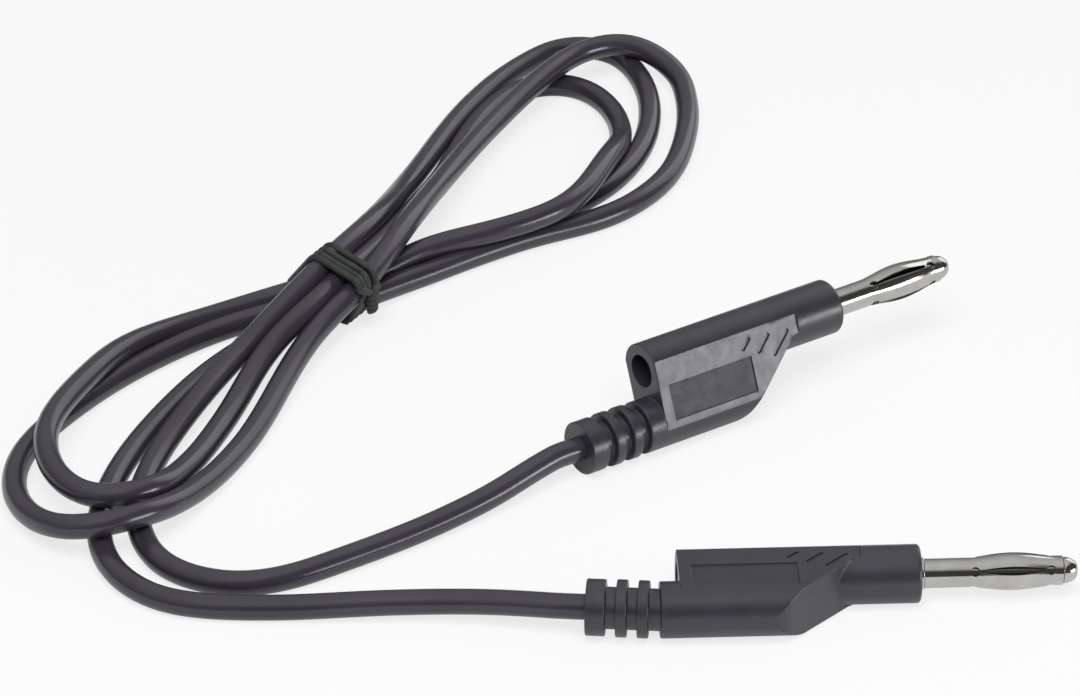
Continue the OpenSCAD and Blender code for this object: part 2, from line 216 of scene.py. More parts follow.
# The cord. Its route repeats the CAD source's points, [x, y, layer]: layer 0 lies on the table
# and each layer is one cord higher.
cord = {
    "diameter": 3.2,
    # where it leaves each plug, and its direction into the plug
    "farExit": (-28.92, 3.42, 3.55), "farInto": (0.848, 0.530, 0),
    "nearExit": (-30.03, -34.20, 3.65), "nearInto": (0.9925, -0.1219, 0),
    "straight": 4,                            # straight stretch outside each plug
    "route": [
        # from the far plug, round the left and up through the tie
        (-41, -6, 0.2), (-56, -16.5, 0), (-72, -24, 0), (-81, -20, 0), (-85, -10, 0), (-84, 3, 0),
        (-78, 18, 0.5), (-70, 33, 0.9), (-60, 48.5, 1.7),
        # the middle loop at the right, and back under the tie
        (-54.5, 58, 1.7), (-49, 77, 0.4), (-38.5, 104, 0), (-31, 115, 0), (-25, 120, 0),
        (-19, 119, 0), (-15, 111, 0), (-14, 98, 0), (-17, 85, 0), (-24, 74, 0), (-47, 59.5, 0),
        (-60, 51, 0.2),
        # the inner loop at the left, over both ends of the cord
        (-75, 43.5, 0), (-87, 32.5, 0.6), (-91.5, 23.5, 1), (-97, 8, 1.1), (-95, -3, 1),
        (-90, -8, 1), (-84, -7, 1.1), (-80, 0, 0.5), (-74, 16, 0.1), (-68.5, 29.5, 0.8),
        (-62.5, 39, 1.2),
        # the inner loop at the right
        (-52, 58, 1.1), (-44, 81, 0), (-36.5, 101, 0), (-30.5, 108, 0), (-24.5, 108, 0),
        (-20, 102, 0), (-18.5, 91, 0.2), (-21, 80, 1), (-28, 65, 1.1), (-37, 59.5, 1),
        (-47, 56.5, 0.7), (-59, 48, 0.1),
        # the outer loop at the left, over the same two ends
        (-75, 39.5, 0), (-86.5, 29.5, 0), (-94, 20, 0), (-100, 9, 0), (-101, 0, 0), (-98, -9, 0.3),
        (-92, -15, 1), (-85, -13, 1.1), (-79, -5, 0.4), (-72, 9, 0), (-62.5, 34, 0.7),
        (-55.5, 44.5, 1.3),
        # the outer loop at the right
        (-49.5, 58, 1.7), (-43.5, 76, 1), (-37, 91, 0.8), (-27, 107, 1.1), (-22, 112.5, 1.1),
        (-16, 114, 1.1), (-10, 111, 0.3), (-8.5, 102, 0), (-9.5, 91, 0), (-13, 79, 0),
        (-21, 69, 0), (-33, 63, 0), (-47, 53.5, 0), (-57, 45.5, 0.2),
        # down the left and along the front to the near plug
        (-66, 40, 0), (-75, 30, 0), (-82, 18, 0), (-88, 3, 0), (-90, -10, 0), (-88, -20, 0),
        (-82, -27, 0), (-75, -29, 0), (-66, -29.5, 0), (-56, -30, 0.2), (-47, -30.5, 0.3),
        (-40, -32, 0.5),
    ],
    "step": 1.2,                              # of the finished curve
    "evenings": 10, "held": 4,                # how often it is evened out, but for its ends
    "sides": 7,
}


def cordPoints():
    radius = cord["diameter"] / 2
    far, near = Vector(cord["farExit"]), Vector(cord["nearExit"])
    start = [far, far - Vector(cord["farInto"]) * cord["straight"]]
    end = [near - Vector(cord["nearInto"]) * cord["straight"], near]
    laid = [Vector((x, y, radius + layer * 2 * radius)) for x, y, layer in cord["route"]]
    return start + laid + end


def tangents(points):
    # through-going directions, weighted so that short stretches don't overshoot
    ends = len(points) - 1
    out = []
    for i, p in enumerate(points):
        if i in (0, ends):
            a, b = (points[0], points[1]) if i == 0 else (points[-2], points[-1])
            out.append((b - a).normalized())
            continue
        back, ahead = p - points[i - 1], points[i + 1] - p
        ta, tb = math.sqrt(back.length), math.sqrt(ahead.length)
        out.append((back / ta * tb + ahead / tb * ta).normalized())
    return out


def cordCurve():
    # a curve through the route's points, then evened out as a springy cord would be
    points = cordPoints()
    along = tangents(points)
    curve = []
    for i, (a, b) in enumerate(zip(points, points[1:])):
        reach = (b - a).length / 3
        steps = max(3, round((b - a).length / cord["step"]))
        bend = interpolate_bezier(a, a + along[i] * reach, b - along[i + 1] * reach, b, steps + 1)
        curve += bend[:-1]
    curve.append(points[-1])
    lowest, held = cord["diameter"] / 2, cord["held"]
    for turn in range(cord["evenings"]):
        even = [(curve[i - 1] + 2 * curve[i] + curve[i + 1]) / 4
                for i in range(held, len(curve) - held)]
        curve = curve[:held] + even + curve[-held:]
    return [Vector((p.x, p.y, max(p.z, lowest))) for p in curve]


def makeCord():
    data = bpy.data.curves.new("cord_jacket", "CURVE")
    data.dimensions = "3D"
    spline = data.splines.new("POLY")
    curve = cordCurve()
    spline.points.add(len(curve) - 1)
    for point, p in zip(spline.points, curve):
        point.co = (*(p * mm), 1)
    spline.use_smooth = True
    data.bevel_depth = cord["diameter"] / 2 * mm
    data.bevel_resolution = cord["sides"]
    data.use_fill_caps = True
    data.materials.append(cordPvc)
    return link(bpy.data.objects.new("cord_jacket", data))


cordJacket = makeCord()
print("cord is laid")


# The wire tie: one coated wire, wound round the strands and twisted together at its ends, which
# are tucked down beside the hank.
tie = {
    "wire": 1.0,
    "turns": 4,
    "place": (-58.5, 45.5),
    "strandTurn": 57,                         # direction of the strands in degrees
    "strands": [(-6.5, 0.2), (1, 0.2), (3.2, 1.4), (-2.9, 1.6)],   # (across, layer)
    "sunk": 0.35,                             # how deep the wire presses into the jackets
    "pitch": 1.25, "wander": 0.2,             # spacing of the turns, and how far they stray
    "strays": ((1.37, 0), (0.61, 2)),         # waves of the straying: their pace and start
    "slant": 0.25,                            # how far the turns lean from square to the strands
    "tailOut": 0.8, "tailBelow": 0.2,         # its root, beside and below the outer strand
    "tailLength": 2.8,
    "tailLean": 186,                          # from upright
    "tailTwists": 2, "tailSteps": 28,
    "firstDegrees": 24, "stepDegrees": 6,     # where the turns start past the root
    "clear": 0.05,                            # over the table
    "sides": 12, "smoothness": 3,
}


def tieCentreline():
    wire, jacket = tie["wire"], cord["diameter"] / 2
    strands = [Vector((across, jacket * (1 + 2 * layer))) for across, layer in tie["strands"]]
    outer = strands[2]
    lean = math.radians(tie["tailLean"])
    tailAlong = Vector((math.sin(lean), 0, math.cos(lean)))
    tailSide = Vector((-math.cos(lean), 0, math.sin(lean)))
    root = Vector((outer.x + jacket + tie["tailOut"] * wire, 0, outer.y - tie["tailBelow"]))
    along = Vector((0, 1, 0))

    def tail(sign):
        # from the root to the tip, one of two wires twisted round each other
        for k in range(tie["tailSteps"] + 1):
            share = k / tie["tailSteps"]
            turn = 2 * math.pi * tie["tailTwists"] * share
            ring = along * math.cos(turn) + tailSide * math.sin(turn)
            yield root + tailAlong * tie["tailLength"] * share + ring * sign * wire / 2

    def wrap():
        # round the outside of the bundle, starting and ending at the tail's root
        total, first = 360 * tie["turns"], tie["firstDegrees"]
        for a in range(first, total - first + 1, tie["stepDegrees"]):
            angle = math.radians(a)
            out = Vector((math.cos(angle), math.sin(angle)))
            corner = max(strands, key=lambda s: s.dot(out))
            p = corner + out * (jacket + wire / 2 - tie["sunk"])
            height = max(p.y, wire / 2 + tie["clear"])
            stray = sum(math.sin(pace * angle + start) for pace, start in tie["strays"])
            aside = tie["pitch"] * (a / 360 - tie["turns"] / 2) + tie["wander"] * stray
            yield Vector((p.x, aside, height))

    path = list(tail(-1))[::-1] + list(wrap()) + list(tail(1))
    return [Vector((p.x, p.y - tie["slant"] * p.x, p.z)) for p in path]


def makeTieTree():
    # sweeps a round wire along the curve that it is given
    tree = bpy.data.node_groups.new("sweptWire", "GeometryNodeTree")
    face = tree.interface
    face.new_socket("Geometry", in_out="INPUT", socket_type="NodeSocketGeometry")
    face.new_socket("Wire Radius", in_out="INPUT", socket_type="NodeSocketFloat")
    face.new_socket("Sides", in_out="INPUT", socket_type="NodeSocketInt")
    face.new_socket("Smoothness", in_out="INPUT", socket_type="NodeSocketInt")
    face.new_socket("Coat", in_out="INPUT", socket_type="NodeSocketMaterial")
    face.new_socket("Geometry", in_out="OUTPUT", socket_type="NodeSocketGeometry")
    given = addNode(tree, "NodeGroupInput").outputs
    soft = addNode(tree, "GeometryNodeCurveSplineType", {"Curve": given["Geometry"]},
                   spline_type="CATMULL_ROM")
    fine = addNode(tree, "GeometryNodeSetSplineResolution",
                   {"Geometry": soft.outputs["Curve"], "Resolution": given["Smoothness"]})
    ring = addNode(tree, "GeometryNodeCurvePrimitiveCircle",
                   {"Resolution": given["Sides"], "Radius": given["Wire Radius"]})
    swept = addNode(tree, "GeometryNodeCurveToMesh",
                    {"Curve": fine.outputs["Geometry"], "Profile Curve": ring.outputs["Curve"]},
                    {"Fill Caps": True})
    whole = addNode(tree, "GeometryNodeRealizeInstances", {"Geometry": swept.outputs["Mesh"]})
    smooth = addNode(tree, "GeometryNodeSetShadeSmooth", {"Geometry": whole.outputs["Geometry"]})
    coat = addNode(tree, "GeometryNodeSetMaterial",
                   {"Geometry": smooth.outputs["Geometry"], "Material": given["Coat"]})
    addNode(tree, "NodeGroupOutput", {"Geometry": coat.outputs["Geometry"]})
    return tree


def runTree(obj, tree, inputs, name):
    # runs a tree on an object with its named inputs, and keeps the result as a plain mesh
    modifier = obj.modifiers.new("nodes", "NODES")
    modifier.node_group = tree
    for socket in tree.interface.items_tree:
        if socket.in_out == "INPUT" and socket.name in inputs:
            modifier[socket.identifier] = inputs[socket.name]
    return baked(obj, name)


def makeTie():
    path = tieCentreline()
    data = bpy.data.curves.new("tie_path", "CURVE")
    data.dimensions = "3D"
    spline = data.splines.new("POLY")
    spline.points.add(len(path) - 1)
    lie = (Matrix.Translation(Vector((*tie["place"], 0)) * mm)
           @ Matrix.Rotation(math.radians(tie["strandTurn"] - 90), 4, "Z"))
    for point, p in zip(spline.points, path):
        point.co = (*(lie @ (p * mm)), 1)
    return runTree(link(bpy.data.objects.new("tie_path", data)), makeTieTree(),
                   {"Wire Radius": tie["wire"] / 2 * mm, "Sides": tie["sides"],
                    "Smoothness": tie["smoothness"], "Coat": tieCoat}, "tie_wire")


tieWire = makeTie()
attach(tieWire, "lead")
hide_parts("wire_tie")
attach(cordJacket, "lead")
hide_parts("cord")
print("tie is wound")


# Helpers for the plugs' metal and mouldings. These are cut from finely divided solids, in
# millimetres, with the pin along +X, the lobe below and the nose face at the origin.

def solidObject(name, shape):
    bmesh.ops.recalc_face_normals(shape, faces=shape.faces)
    mesh = bpy.data.meshes.new(name)
    shape.to_mesh(mesh)
    shape.free()
    return link(bpy.data.objects.new(name, mesh))


def turnedSolid(name, points, drop=0, steps=72, start=0.5):
    # a closed solid turned about an axis along X, from [x, radius] points
    shape = bmesh.new()
    rings = []
    for x, radius in points:
        if radius == 0:
            rings.append([shape.verts.new((x, 0, -drop))])
            continue
        turns = [2 * math.pi * (i + start) / steps for i in range(steps)]
        rings.append([shape.verts.new((x, radius * math.cos(t), radius * math.sin(t) - drop))
                      for t in turns])
    for a, b in zip(rings, rings[1:]):
        for i in range(steps):
            j = (i + 1) % steps
            around = [a[i % len(a)], a[j % len(a)], b[j % len(b)], b[i % len(b)]]
            shape.faces.new(list(dict.fromkeys(around)))
    for end in (rings[0], rings[-1]):
        if len(end) > 1:
            shape.faces.new(end)
    return solidObject(name, shape)


def prism(name, outline, low, high):
    # a closed solid between two values of y, from its outline of [x, z] points
    shape = bmesh.new()
    sides = [[shape.verts.new((x, y, z)) for x, z in outline] for y in (low, high)]
    for i in range(len(outline)):
        j = (i + 1) % len(outline)
        shape.faces.new((sides[0][i], sides[0][j], sides[1][j], sides[1][i]))
    for end in sides:
        shape.faces.new(end)
    return solidObject(name, shape)


def combined(base, tool, operation):
    name = base.name
    change = base.modifiers.new("change", "BOOLEAN")
    change.operation, change.object, change.solver = operation, tool, "EXACT"
    made = baked(base, name)
    bpy.data.objects.remove(tool)
    return made


def tidied(obj, angle=0.3):
    # merges what a cut left double, and joins faces that lie in one plane
    shape = bmesh.new()
    shape.from_mesh(obj.data)
    bmesh.ops.remove_doubles(shape, verts=shape.verts, dist=0.002)
    bmesh.ops.dissolve_limit(shape, angle_limit=math.radians(angle), verts=shape.verts,
                             edges=shape.edges)
    shape.to_mesh(obj.data)
    shape.free()


def edged(obj, width, fromAngle, steps=2, isFine=None, fineShare=0.4):
    # rounds the edges that turn more than fromAngle degrees, and those of fine details less
    shape = bmesh.new()
    shape.from_mesh(obj.data)
    weight = shape.edges.layers.float.new("bevel_weight_edge")
    for edge in shape.edges:
        if len(edge.link_faces) == 2 and edge.calc_face_angle(0) > math.radians(fromAngle):
            middle = (edge.verts[0].co + edge.verts[1].co) / 2
            edge[weight] = fineShare if isFine and isFine(middle) else 1.0
    shape.to_mesh(obj.data)
    shape.free()
    bevel = obj.modifiers.new("edge", "BEVEL")
    bevel.limit_method = "WEIGHT"
    bevel.width, bevel.segments = width, steps
    bevel.use_clamp_overlap = False
    bevel.miter_outer = "MITER_ARC"
    return baked(obj, obj.name)


def sliced(obj, low, high, step):
    # cuts long strips across, so that what happens at one end doesn't tint their whole length
    shape = bmesh.new()
    shape.from_mesh(obj.data)
    for i in range(1, math.ceil((high - low) / step)):
        bmesh.ops.bisect_plane(shape, geom=shape.verts[:] + shape.edges[:] + shape.faces[:],
                               plane_co=(low + i * step, 0, 0), plane_no=(1, 0, 0), dist=0.001)
    shape.to_mesh(obj.data)
    shape.free()


def seated(obj, lie, material, body, nodeName):
    # puts a finished piece in its place, with its normals following its flat faces
    if not obj.data.materials or not obj.data.materials[0]:
        obj.data.materials.clear()
        obj.data.materials.append(material)
    obj.data.transform(lie @ Matrix.Scale(mm, 4))
    obj.data.shade_smooth()
    weighted = obj.modifiers.new("normals", "WEIGHTED_NORMAL")
    weighted.weight = 80                      # 50 is even, and more favours the large faces
    obj = baked(obj, obj.name)
    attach(obj, body)
    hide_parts(nodeName)
    return obj


# The pin's core and cap, and the tube of the socket behind it.
metal = {
    "coreShank": 3.4, "coreNeck": 4.0, "shoulder": 0.4,
    "spigot": 2.9, "tail": 1.8,
    "flange": 5.2, "flangeWidth": 1.0,
    "pinLength": 19.5,
    "tipLength": 1.8, "tipRear": 3.3, "tipFlat": 0.9, "tipSteps": 9,
    "tubeInside": 4.0, "tubeOutside": 4.8, "tubeRear": -27.5, "tubeBoreEnd": -9.0,
    "tubeFront": -5.0,
    "edge": 0.06, "sharpFrom": 40,            # edges that turn more than this are rounded
}


def makePinAndSocket(side, lie):
    m = metal
    end = m["pinLength"] - m["tipLength"]
    core = turnedSolid(side + "_core", [
        (m["tubeBoreEnd"], m["coreShank"] / 2), (m["tubeFront"], m["coreShank"] / 2),
        (m["tubeFront"], m["flange"] / 2), (m["tubeFront"] + m["flangeWidth"], m["flange"] / 2),
        (m["tubeFront"] + m["flangeWidth"], m["coreNeck"] / 2),
        (m["shoulder"], m["coreNeck"] / 2), (m["shoulder"], m["spigot"] / 2),
        (end, m["spigot"] / 2), (end, m["tail"] / 2), (end + m["tipLength"] / 2, m["tail"] / 2)])
    core = edged(core, m["edge"], m["sharpFrom"])
    seated(core, lie, nickel, "lead", side + "_pin_core")

    reach = (m["tipRear"] - m["tipFlat"]) / 2
    arc = []
    for i in range(m["tipSteps"] + 1):
        turn = math.pi / 2 * i / m["tipSteps"]
        arc.append((end + m["tipLength"] * math.sin(turn),
                    m["tipFlat"] / 2 + reach * math.cos(turn)))
    tip = turnedSolid(side + "_tip", [(end, 0)] + arc + [(m["pinLength"], 0)])
    tip = edged(tip, m["edge"], m["sharpFrom"])
    seated(tip, lie, nickel, "lead", side + "_tip_cap")

    outer, inner, shank = m["tubeOutside"] / 2, m["tubeInside"] / 2, m["coreShank"] / 2
    tube = turnedSolid(side + "_tube", [(m["tubeRear"], outer), (m["tubeFront"], outer)])
    bore = turnedSolid("bore", [(m["tubeRear"] - 1, inner), (m["tubeBoreEnd"], inner),
                                (m["tubeBoreEnd"], shank), (m["tubeFront"] + 1, shank)])
    tube = edged(combined(tube, bore, "DIFFERENCE"), m["edge"], m["sharpFrom"])
    seated(tube, lie, brass, "lead", side + "_socket_tube")


moulding = {
    "barrel": 7.3, "length": 30.0, "noseLength": 7.5, "noseEdge": 0.45, "width": 6.8,
    "lobe": 7.0, "drop": 6.9, "overhang": 2.5, "reach": 10.8,
    "rampAngle": 44, "toeRound": 4.0, "toeSteps": 12,
    "ribs": 2, "ribOutside": 7.1, "ribWidth": 1.35, "groove": 5.2, "grooveWidth": 1.3,
    "collar": 7.0, "collarLength": 2.4,
    "panelDepth": 0.2, "panelRear": 1.5, "panelLength": 13.1, "panelTop": 2.1,
    "panelHeight": 4.7, "panelMargin": 1.0,
    "grips": 3, "gripLength": 2.0, "gripGrowth": 1.0, "gripPitch": 2.65, "gripFall": 0.65,
    "gripWidth": 0.5, "gripDepth": 0.25, "gripInset": 0.4,
    "mouth": 4.4, "mouthDepth": 2.5,
    "edge": 0.14, "fineEdge": 0.05,           # roundings of the outline and of the small details
    "roundFrom": 16,                          # an edge that turns less than this stays as it is
    "slice": 0.75,                            # length of the slices that keep the shading even
    "cutTop": 6, "cutBottom": -14,            # of the shapes that cut the flat sides
    "close": 0.03,                            # a point this close to an outline is on it
}


def lobeOutline():
    # the lobe from the side: straight underside, round toe and straight ramp into the barrel.
    # It reaches past the lobe's rear and underside, as it is what the lobe is cut with.
    m = moulding
    bottom = m["drop"] + m["lobe"] / 2
    toeX = m["reach"] - m["length"]
    points = [(-2 * m["length"], 2), (-2 * m["length"], -bottom - 1), (toeX, -bottom - 1)]
    for i in range(m["toeSteps"] + 1):
        turn = math.radians(m["rampAngle"]) * i / m["toeSteps"]
        points.append((toeX + m["toeRound"] * math.sin(turn),
                       -bottom + m["toeRound"] * (1 - math.cos(turn))))
    x, z = points[-1]
    rise = math.tan(math.radians(m["rampAngle"]))
    return points + [(x - z / rise, 0), (x - z / rise, 2)]


def reliefOutline():
    # grooves, ribs and collar as [x, radius] points, from the lobe's rear end back
    m = moulding
    x = -m["length"] - m["overhang"]
    points = [(x + 1, m["groove"] / 2)]
    for i in range(m["ribs"]):
        x -= m["grooveWidth"]
        points += [(x, m["groove"] / 2), (x, m["ribOutside"] / 2)]
        x -= m["ribWidth"]
        points += [(x, m["ribOutside"] / 2), (x, m["groove"] / 2)]
    x -= m["grooveWidth"]
    points += [(x, m["groove"] / 2), (x, m["collar"] / 2)]
    return points + [(x - m["collarLength"], m["collar"] / 2)]


def panelOutline():
    # a rectangle whose front lower corner is cut parallel to the ramp
    m = moulding
    rear, front = m["panelRear"] - m["length"], m["panelRear"] + m["panelLength"] - m["length"]
    top, bottom = -m["panelTop"], -m["panelTop"] - m["panelHeight"]
    slope = math.tan(math.radians(m["rampAngle"]))
    rampX = lobeOutline()[-2][0] - m["panelMargin"] / math.sin(math.radians(m["rampAngle"]))

    def cutX(z):
        return min(front, rampX + z / slope)
    corner = (rampX - front) * -slope
    points = [(rear, top), (rear, bottom), (cutX(bottom), bottom)]
    if bottom < corner < top:
        points.append((front, corner))
    return points + [(cutX(top), top)]


def gripOutlines():
    m = moulding
    lean = math.radians(m["rampAngle"])
    along = Vector((math.cos(lean), math.sin(lean)))
    across = Vector((-along.y, along.x))
    startX = m["panelRear"] + m["panelLength"] - m["length"] - m["gripInset"]
    for i in range(m["grips"]):
        middle = Vector((startX + i * m["gripPitch"], -m["gripInset"] - i * m["gripFall"]))
        half, side = (m["gripLength"] + i * m["gripGrowth"]) / 2, m["gripWidth"] / 2
        outline = []
        for end in (1, -1):
            # each end is rounded
            for k in range(7):
                turn = math.radians(-90 + 30 * k)
                outline.append(middle + end * (along * (half - side + side * math.cos(turn))
                                               + across * side * math.sin(turn)))
        yield outline


def nearOutline(p, outline):
    # whether a point of the moulding lies on a recess's outline, seen from the side
    spot = Vector((p.x, p.z))
    for i, end in enumerate(outline):
        a, b = Vector(outline[i - 1]), Vector(end)
        share = max(0.0, min(1.0, (spot - a).dot(b - a) / max((b - a).length_squared, 1e-9)))
        if (a.lerp(b, share) - spot).length < moulding["close"]:
            return True
    return False


def makeMoulding(side, lie, lean):
    m = moulding
    rear, nose = -m["length"], m["barrel"] / 2
    edge = m["noseEdge"]
    arc = [(edge * (math.sin(t) - 1), nose - edge * (1 - math.cos(t)))
           for t in (math.radians(15 * i) for i in range(7))]
    # shapes that join or cut reach a little past one another, so that no two faces coincide
    body = turnedSolid(side + "_moulding", [(rear, nose)] + arc, start=0)
    lobe = turnedSolid("lobe", [(rear - m["overhang"], m["lobe"] / 2), (0, m["lobe"] / 2)],
                       m["drop"])
    web = prism("web", [(rear, 0.5), (rear, -m["drop"]), (0, -m["drop"]), (0, 0.5)],
                -m["width"] / 2 - 0.02, m["width"] / 2 + 0.02)
    lobe = combined(lobe, web, "UNION")
    lobe = combined(lobe, prism("outline", lobeOutline(), -nose - 1, nose + 1), "INTERSECT")
    body = combined(body, lobe, "UNION")
    for way in (-1, 1):
        inner, outer = sorted((way * m["width"] / 2, way * (nose + 1)))
        flat = prism("flat", [(rear - 0.01, m["cutTop"]), (rear - 0.01, m["cutBottom"]),
                              (-m["noseLength"], m["cutBottom"]), (-m["noseLength"], m["cutTop"])],
                     inner, outer)
        body = combined(body, flat, "DIFFERENCE")
    relief = turnedSolid("relief", reliefOutline(), m["drop"])
    pivot = Matrix.Translation((rear - m["overhang"], 0, -m["drop"]))
    relief.data.transform(pivot @ Matrix.Rotation(math.radians(lean), 4, "Y") @ pivot.inverted())
    body = combined(body, relief, "UNION")
    wall = m["width"] / 2
    recesses = [(panelOutline(), m["panelDepth"])] + [(o, m["gripDepth"]) for o in gripOutlines()]
    for way in (-1, 1):
        for outline, depth in recesses:
            inner, outer = sorted((way * (wall - depth), way * (wall + 1)))
            body = combined(body, prism("recess", outline, inner, outer), "DIFFERENCE")
    tube, flange, neck = metal["tubeOutside"] / 2, metal["flange"] / 2, metal["coreNeck"] / 2
    front = metal["tubeFront"] + metal["flangeWidth"]
    mouthEnd = rear + m["mouthDepth"]
    bore = turnedSolid("bore", [(rear - 1, m["mouth"] / 2), (mouthEnd, m["mouth"] / 2),
                                (mouthEnd, tube), (metal["tubeFront"], tube),
                                (metal["tubeFront"], flange), (front, flange), (front, neck),
                                (1, neck)])
    body = combined(body, bore, "DIFFERENCE")
    tidied(body)

    def isFine(p):
        # in the bore, on the low step at the flats' front, or in a recess of the flat sides
        inBore = math.hypot(p.y, p.z) < tube + 0.3 and p.x < 0.5
        onStep = abs(p.x + m["noseLength"]) < 0.02
        if inBore or onStep:
            return True
        return abs(p.y) < wall + 0.01 and any(nearOutline(p, recess[0]) for recess in recesses)
    body = edged(body, m["edge"], m["roundFrom"], 3, isFine, m["fineEdge"] / m["edge"])
    sliced(body, rear - m["overhang"], 0, m["slice"])
    body.data.materials.append(plugPvc)
    body.data.materials.append(panelPvc)
    for face in body.data.polygons:
        # the panels' floors are the only faces at their depth
        onFloor = abs(abs(face.center.y) - (wall - m["panelDepth"])) < 0.01
        face.material_index = int(onFloor and abs(face.normal.y) > 0.99)
    seated(body, lie, plugPvc, "lead", side + "_housing")


# The leaf cage: two rings of sheet metal joined by bowed leaves, rolled round the pin's core.
cage = {
    "rear": 0.5, "front": 17.6,               # along the pin, from the nose face
    "leafRear": 6.1, "leafFront": 16.7,
    "leaves": 4,
    "ring": 3.65, "widest": 4.75,             # outside diameters
    "bowPower": 1.4,                          # fullness of the bow
    "sheet": 0.25,
    "slit": 0.24, "hole": 1.15,               # width of a slit, and of the round holes at its ends
    "turn": 58,                               # of the first slit from the plug's side
    "alongSteps": 170, "roundSteps": 9,
    "merge": 0.002,                           # points of neighbouring leaves this close are one
}


# How a point of a leaf is placed, step by step: the name of a value, its operation, and what that
# works on. The names with capitals are the tree's inputs.
cageFormulas = [
    # x runs along the pin, and share along a leaf from 0 to 1
    ("length", "SUBTRACT", "Front", "Rear"),
    ("fromRear", "ADD", "gridX", 0.5),
    ("run", "MULTIPLY", "fromRear", "length"),
    ("x", "ADD", "Rear", "run"),
    ("leafLength", "SUBTRACT", "Leaf Front", "Leaf Rear"),
    ("behind", "SUBTRACT", "x", "Leaf Rear"),
    ("ahead", "SUBTRACT", "Leaf Front", "x"),
    ("ratio", "DIVIDE", "behind", "leafLength"),
    ("started", "MAXIMUM", "ratio", 0.0),
    ("share", "MINIMUM", "started", 1.0),
    # the leaf bows out between its rings
    ("phase", "MULTIPLY", "share", math.pi),
    ("wave", "SINE", "phase"),
    ("rise", "POWER", "wave", "Bow Power"),
    ("bow", "MULTIPLY", "Bow", "rise"),
    ("radius", "ADD", "Ring Radius", "bow"),
    # each end of a slit is a round hole, so there the half width follows a circle
    ("inside", "MINIMUM", "behind", "ahead"),
    ("off", "SUBTRACT", "inside", "Hole Radius"),
    ("offSquared", "MULTIPLY", "off", "off"),
    ("holeSquared", "MULTIPLY", "Hole Radius", "Hole Radius"),
    ("difference", "SUBTRACT", "holeSquared", "offSquared"),
    ("halfSquared", "MAXIMUM", "difference", 0.0),
    ("hole", "SQRT", "halfSquared"),
    ("between", "GREATER_THAN", "off", 0.0),
    ("slit", "MULTIPLY", "Slit Half", "between"),
    ("opening", "MAXIMUM", "hole", "slit"),
    # a leaf keeps its width, so the gaps beside it grow with the bow
    ("sector", "DIVIDE", math.pi, "Leaves"),
    ("growth", "MULTIPLY", "bow", "sector"),
    ("half", "ADD", "opening", "growth"),
    ("gap", "DIVIDE", "half", "radius"),
    ("reach", "SUBTRACT", "sector", "gap"),
    ("across", "MULTIPLY", "gridY", 2.0),
    ("angle", "MULTIPLY", "across", "reach"),
    ("sine", "SINE", "angle"),
    ("cosine", "COSINE", "angle"),
    ("y", "MULTIPLY", "radius", "sine"),
    ("z", "MULTIPLY", "radius", "cosine"),
    # slits lie between leaves, so the first leaf is half a sector past the first slit
    ("firstSlit", "SUBTRACT", "Turn", math.pi / 2),
    ("first", "ADD", "firstSlit", "sector"),
    ("pitch", "MULTIPLY", "sector", 2.0),
    ("step", "MULTIPLY", "index", "pitch"),
    ("turn", "ADD", "first", "step"),
]


